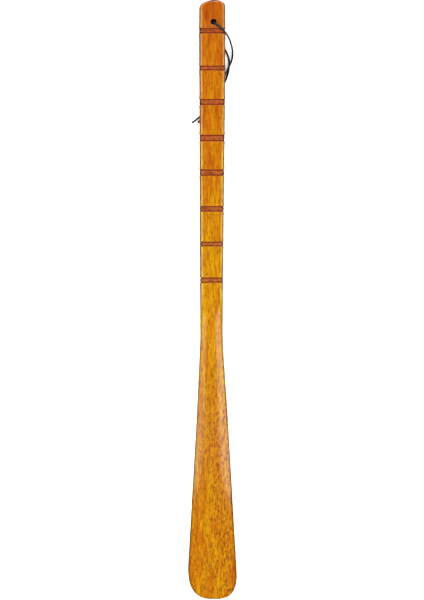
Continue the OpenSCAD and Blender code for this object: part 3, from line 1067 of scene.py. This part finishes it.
    link = tree.links.new
    link(places.outputs["Object"], sway.inputs["Vector"])
    link(sway.outputs["Color"], sway_middle.inputs[0])
    link(sway_middle.outputs["Vector"], sway_size.inputs[0])
    link(places.outputs["Object"], swayed.inputs[0])
    link(sway_size.outputs["Vector"], swayed.inputs[1])
    link(swayed.outputs["Vector"], long_grain.inputs["Vector"])
    link(long_grain.outputs["Vector"], broad.inputs["Vector"])
    link(long_grain.outputs["Vector"], fine.inputs["Vector"])
    link(broad.outputs["Fac"], broad_colour.inputs["Fac"])
    link(fine.outputs["Fac"], fine_colour.inputs["Fac"])
    link(broad_colour.outputs["Color"], fine_on.inputs["A"])
    link(fine_colour.outputs["Color"], fine_on.inputs["B"])
    link(places.outputs["Object"], apart.inputs["Vector"])
    link(apart.outputs["Y"], length_share.inputs["Value"])
    link(length_share.outputs["Result"], length_colour.inputs["Fac"])
    link(fine_on.outputs["Result"], length_on.inputs["A"])
    link(length_colour.outputs["Color"], length_on.inputs["B"])
    link(tone.outputs["Fac"], tone_share.inputs["Value"])
    link(tone_share.outputs["Result"], tone_colour.inputs["Fac"])
    link(length_on.outputs["Result"], tone_on.inputs["A"])
    link(tone_colour.outputs["Color"], tone_on.inputs["B"])
    link(swayed.outputs["Vector"], pore_place.inputs["Vector"])
    link(pore_place.outputs["Vector"], pore_noise.inputs["Vector"])
    link(pore_noise.outputs["Fac"], pore_cut.inputs["Value"])
    link(pore_cut.outputs["Result"], pore_on.inputs["Factor"])
    link(tone_on.outputs["Result"], pore_on.inputs["A"])
    link(places.outputs["Object"], fleck_place.inputs["Vector"])
    link(places.outputs["Object"], fleck_back.inputs["Vector"])
    link(fleck_place.outputs["Vector"], fleck_noise.inputs["Vector"])
    link(fleck_back.outputs["Vector"], fleck_noise_back.inputs["Vector"])
    link(fleck_noise.outputs["Fac"], fleck_most.inputs[0])
    link(fleck_noise_back.outputs["Fac"], fleck_most.inputs[1])
    link(fleck_most.outputs["Value"], fleck_cut.inputs["Value"])
    link(fleck_cut.outputs["Result"], fleck_share.inputs[0])
    link(blade.outputs["Fac"], fleck_share.inputs[1])
    link(fleck_share.outputs["Value"], fleck_on.inputs["Factor"])
    link(pore_on.outputs["Result"], fleck_on.inputs["A"])
    link(places.outputs["Object"], brush.inputs["Vector"])
    link(brush.outputs["Fac"], brushed.inputs[0])
    link(ring.outputs["Fac"], brushed.inputs[2])
    link(brushed.outputs["Value"], stain_share.inputs["Value"])
    link(brush.outputs["Fac"], stain_colour.inputs["Fac"])
    link(stain_share.outputs["Result"], stain_on.inputs["Factor"])
    # painted sheen over the flecked wood
    link(painted_sheen.outputs["Fac"], painted_sheen_on.inputs["Factor"])
    link(fleck_on.outputs["Result"], painted_sheen_on.inputs["A"])
    link(painted_sheen_on.outputs["Result"], stain_on.inputs["A"])
    link(stain_colour.outputs["Color"], stain_tint.inputs["A"])
    link(length_colour.outputs["Color"], stain_tint.inputs["B"])
    link(stain_tint.outputs["Result"], stain_on.inputs["B"])
    link(ring.outputs["Fac"], cut_middle.inputs[0])
    link(cut_middle.outputs["Value"], cut_away.inputs[0])
    link(cut_away.outputs["Value"], cut_share.inputs["Value"])
    link(cut_share.outputs["Result"], cut_on.inputs["Factor"])
    link(stain_on.outputs["Result"], cut_on.inputs["A"])
    # painted shade in the hole
    link(hole.outputs["Fac"], painted_hole_shade_on.inputs["Factor"])
    # painted shade along the outline
    link(painted_edge_shade.outputs["Fac"], painted_edge_shade_on.inputs["Factor"])
    link(cut_on.outputs["Result"], painted_edge_shade_on.inputs["A"])
    link(painted_edge_shade_on.outputs["Result"], painted_hole_shade_on.inputs["A"])
    link(cut_share.outputs["Result"], bare.inputs[0])
    link(thin.outputs["Fac"], bare.inputs[1])
    link(bare.outputs["Value"], coat.inputs["Value"])
    link(coat.outputs["Result"], lacquer.inputs["Coat Weight"])
    link(painted_hole_shade_on.outputs["Result"], lacquer.inputs["Base Color"])
    link(fine.outputs["Fac"], grain_height.inputs[0])
    link(grain_height.outputs["Value"], pore_height.inputs[0])
    link(pore_cut.outputs["Result"], pore_height.inputs[1])
    link(pore_height.outputs["Value"], relief.inputs["Height"])
    link(places.outputs["Object"], peel.inputs["Vector"])
    link(peel.outputs["Fac"], peel_relief.inputs["Height"])
    link(relief.outputs["Normal"], peel_relief.inputs["Normal"])
    link(peel_relief.outputs["Normal"], lacquer.inputs["Normal"])
    link(peel_relief.outputs["Normal"], lacquer.inputs["Coat Normal"])
    link(pore_cut.outputs["Result"], dullness.inputs["Value"])
    link(dullness.outputs["Result"], lacquer.inputs["Roughness"])
    link(lacquer.outputs["BSDF"], output.inputs["Surface"])
    return material


# ---- Floor and light ----

FLOOR_REACH = 40.0
SOFTBOX_DISTANCE = 2.0


def add_floor():
    """A wide plain white floor, with a small dark patch of painted shadow below the hole, which is
    seen only through the hole.
    """
    corners = np.array([(-1, -1, 0), (1, -1, 0), (1, 1, 0), (-1, 1, 0)])
    floor = make_piece("floor", FLOOR_REACH * corners, [[0, 1, 2, 3]], smooth=False)
    material = bpy.data.materials.new("white_floor")
    material.use_nodes = True
    tree = material.node_tree
    tree.nodes.clear()
    output = tree.nodes.new("ShaderNodeOutputMaterial")
    output.label = "floor surface"
    paper = tree.nodes.new("ShaderNodeBsdfPrincipled")
    paper.label = "matt paper"
    places = tree.nodes.new("ShaderNodeTexCoord")
    places.label = "place on the floor"
    from_hole = tree.nodes.new("ShaderNodeVectorMath")
    from_hole.label = "distance from below the hole"
    patch = tree.nodes.new("ShaderNodeMapRange")
    patch.label = "the dark patch's soft edge"
    shade = tree.nodes.new("ShaderNodeMix")
    shade.label = "white paper with a dark patch"
    painted_shadow_frame = tree.nodes.new("NodeFrame")
    painted_shadow_frame.label = "dark patch below the hole"
    for node in (from_hole, patch, shade):
        node.parent = painted_shadow_frame
    for column, node in enumerate((places, from_hole, patch, shade, paper, output)):
        node.location = (column * 260, 0)
    # painted shadow: the floor is nearly black within 4 mm of the point below the hole and turns
    # white by 8 mm
    from_hole.operation = "DISTANCE"
    from_hole.inputs[1].default_value = (HOLE_X * MM, HOLE_Y * MM, 0)
    patch.inputs["From Min"].default_value = 0.004
    patch.inputs["From Max"].default_value = 0.008
    shade.data_type = "RGBA"
    shade.inputs["A"].default_value = (0.015, 0.006, 0.004, 1)
    shade.inputs["B"].default_value = (0.92, 0.92, 0.92, 1)
    paper.inputs["Roughness"].default_value = 0.9
    paper.inputs["Specular IOR Level"].default_value = 0
    tree.links.new(places.outputs["Object"], from_hole.inputs[0])
    tree.links.new(from_hole.outputs["Value"], patch.inputs["Value"])
    tree.links.new(patch.outputs["Result"], shade.inputs["Factor"])
    tree.links.new(shade.outputs["Result"], paper.inputs["Base Color"])
    tree.links.new(paper.outputs["BSDF"], output.inputs["Surface"])
    floor.data.materials.append(material)


def add_softbox(name, bearing, near, far, length, brightness):
    """A soft light that reaches from near to far degrees off upright, seen from the object.

    bearing is the way to it round the object in degrees from +X, and its length lies square to
    that. Its power is its brightness times pi times its area.
    """
    light = bpy.data.lights.new(name, "AREA")
    light.shape = "RECTANGLE"
    middle, half = math.radians(near + far) / 2, math.radians(far - near) / 2
    light.size = 2 * SOFTBOX_DISTANCE * math.tan(half)
    light.size_y = length
    light.energy = brightness * math.pi * light.size * light.size_y
    softbox = bpy.data.objects.new(name, light)
    turn = math.radians(bearing)
    flat, up = SOFTBOX_DISTANCE * math.sin(middle), SOFTBOX_DISTANCE * math.cos(middle)
    softbox.location = (flat * math.cos(turn), flat * math.sin(turn), up)
    softbox.rotation_euler = (0, middle, turn)
    softbox.visible_camera = False
    bpy.context.scene.collection.objects.link(softbox)


def add_sky():
    """Dim overhead and brighter towards the horizon, so that level lacquer keeps its colour."""
    world = bpy.data.worlds.new("studio")
    world.use_nodes = True
    tree = world.node_tree
    tree.nodes.clear()
    output = tree.nodes.new("ShaderNodeOutputWorld")
    output.label = "studio"
    room = tree.nodes.new("ShaderNodeBackground")
    room.label = "room light"
    places = tree.nodes.new("ShaderNodeTexCoord")
    places.label = "direction"
    apart = tree.nodes.new("ShaderNodeSeparateXYZ")
    apart.label = "how far up"
    levels = tree.nodes.new("ShaderNodeValToRGB")
    levels.label = "horizon to overhead"
    for column, node in enumerate((places, apart, levels, room, output)):
        node.location = (column * 260, 0)
    levels.color_ramp.elements[0].position = 0.3
    levels.color_ramp.elements[0].color = (0.15, 0.15, 0.15, 1)
    levels.color_ramp.elements[1].position = 0.9
    levels.color_ramp.elements[1].color = (0.03, 0.03, 0.03, 1)
    tree.links.new(places.outputs["Generated"], apart.inputs["Vector"])
    tree.links.new(apart.outputs["Z"], levels.inputs["Fac"])
    tree.links.new(levels.outputs["Color"], room.inputs["Color"])
    tree.links.new(room.outputs["Background"], output.inputs["Surface"])
    bpy.context.scene.world = world


# ---- The scene ----

add_camera()
add_cord(cord_material())
add_wood(wood_material())
add_floor()
add_softbox("right_softbox", 0, 31, 62, 3.0, 2.8)
add_softbox("left_softbox", 180, 26, 62, 3.0, 4.3)
add_softbox("far_softbox", 90, 27, 72, 3.0, 6.0)
add_softbox("near_softbox", 270, 27, 72, 3.0, 6.0)
add_sky()
bpy.context.scene.view_settings.view_transform = "Standard"

bpy.context.view_layer.update()
